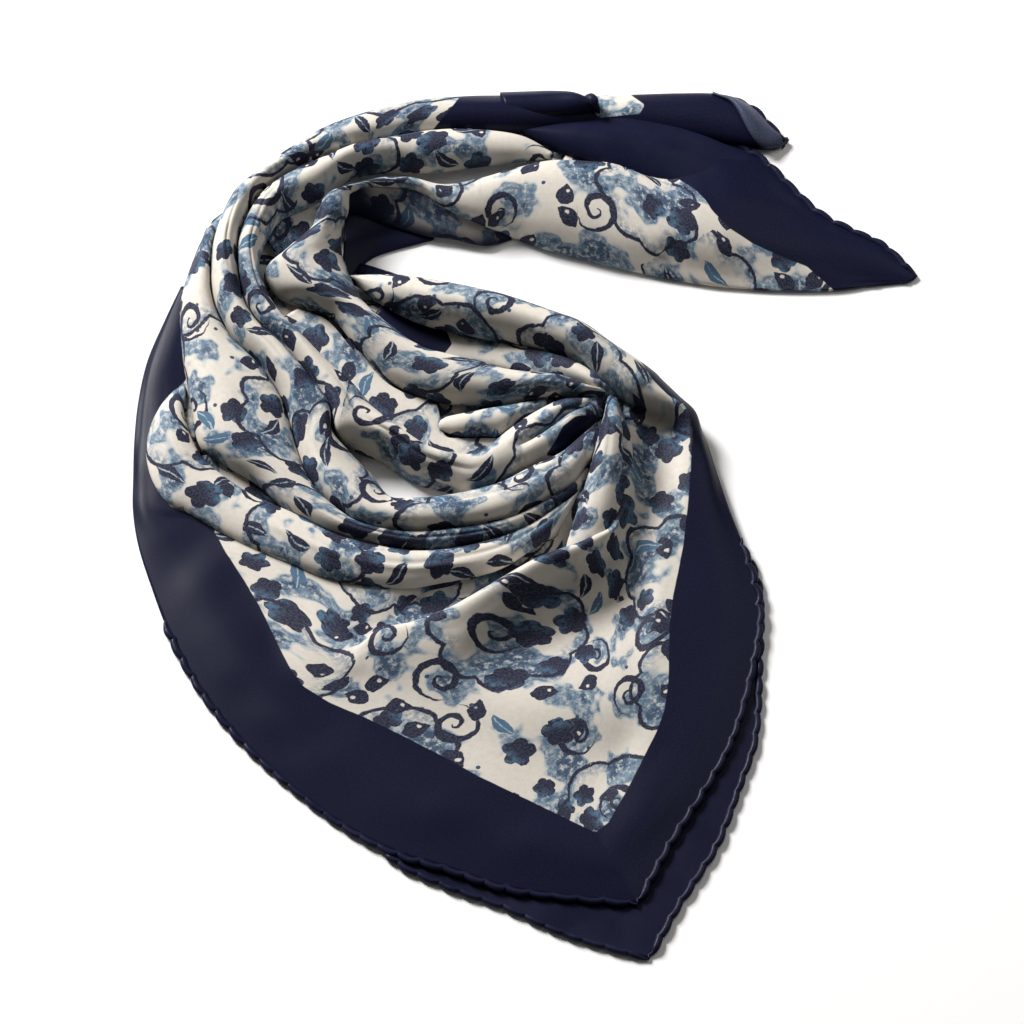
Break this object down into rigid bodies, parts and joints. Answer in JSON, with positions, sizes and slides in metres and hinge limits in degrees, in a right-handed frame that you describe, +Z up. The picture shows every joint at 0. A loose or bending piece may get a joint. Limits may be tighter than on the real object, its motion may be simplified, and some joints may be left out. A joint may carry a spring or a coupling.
{
  "type": "silk square scarf",
  "caption": "Silk square scarf lying on a surface, folded on its diagonal, gathered in soft rolls round a small ring, with a patterned field, dark border and rolled hem",
  "frame": {"origin": "on the surface the scarf lies on, under the middle of its outline", "axes": "+Z up from the surface, +X to the scarf's right with the folded corner towards -Y and both tails towards +X, +Y away from the corner"},
  "size_m": [0.3954, 0.5028, 0.0355],
  "materials": {
    "printed_silk": "fine silk crepe, soft satin sheen, blue and dark blue flowers and leaves on cream",
    "border_silk": "plain dark navy silk crepe with a soft sheen",
    "rolled_hem": "navy hand-rolled hem, stitched in small scallops",
    "hidden_silk": "plain silk, hidden layers"
  },
  "bodies": {
    "root": {"middle_roll": "printed_silk", "outer_roll": "printed_silk", "lower_fold": "printed_silk", "ridge_fold": "printed_silk", "inner_roll": "printed_silk", "nook_sheet": "printed_silk", "sunken_face": "printed_silk", "arch_roll": "printed_silk", "arch_curtain": "printed_silk", "tail_strand": "printed_silk", "wing_roll": "printed_silk", "under_fold": "printed_silk", "short_fold": "printed_silk", "centre_fold": "printed_silk", "front_panel": "printed_silk", "upper_tail": "border_silk", "lower_tail": "border_silk", "under_layer": "border_silk", "table_scrap": "border_silk", "hem_front_left": "rolled_hem", "hem_front_right": "rolled_hem", "hem_under": "rolled_hem", "hem_upper_tail": "rolled_hem", "hem_lower_tail": "rolled_hem", "hidden_layers_turn": "hidden_silk", "hidden_layers_bend": "hidden_silk", "hidden_layers_rim": "hidden_silk", "hidden_layers_back": "hidden_silk", "hidden_layers_panel": "hidden_silk", "hidden_layers_tail": "hidden_silk"}
  },
  "joints": []
}
